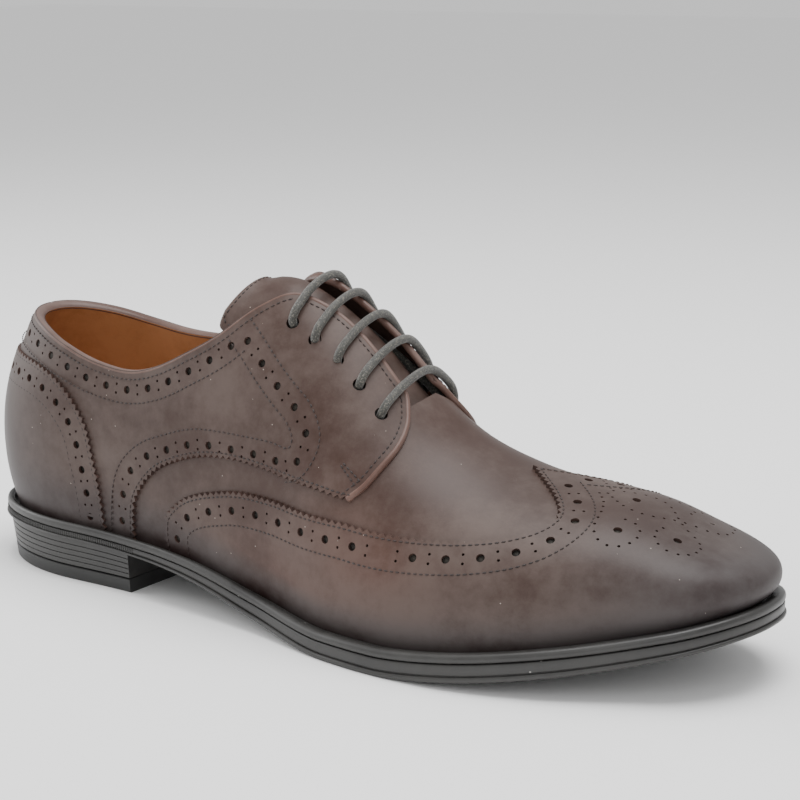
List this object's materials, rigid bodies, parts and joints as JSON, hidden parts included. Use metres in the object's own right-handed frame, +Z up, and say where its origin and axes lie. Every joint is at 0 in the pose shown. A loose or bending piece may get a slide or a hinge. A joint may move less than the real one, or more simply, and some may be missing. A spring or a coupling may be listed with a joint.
{
  "type": "brogue shoe",
  "caption": "Right wing-tip brogue shoe with open lacing, a winged toe cap, heel counter, tongue, laced facings, welt and a stacked low heel.",
  "frame": {"origin": "on the floor, under the middle of the sole's outline seen from above", "axes": "+X towards the toe, +Y towards the big-toe side, +Z up; the shoe stands on z = 0"},
  "size_m": [0.3057, 0.108, 0.1147],
  "materials": {
    "upper_leather": "waxed smooth leather, satin, burnished darker at toe and heel",
    "tongue_leather": "waxed smooth leather, satin",
    "lining_leather": "matt tan lining leather",
    "lace_cord": "waxed round cotton cord",
    "sole_rubber": "dark grey rubber, satin"
  },
  "bodies": {
    "root": {"upper": "upper_leather", "wing_cap": "upper_leather", "quarter_lateral": "upper_leather", "quarter_medial": "upper_leather", "counter": "upper_leather", "tongue": "tongue_leather", "lace": "lace_cord", "insole": "lining_leather", "welt": "sole_rubber", "outsole": "sole_rubber", "heel_block": "sole_rubber", "top_lift": "sole_rubber"}
  },
  "joints": []
}
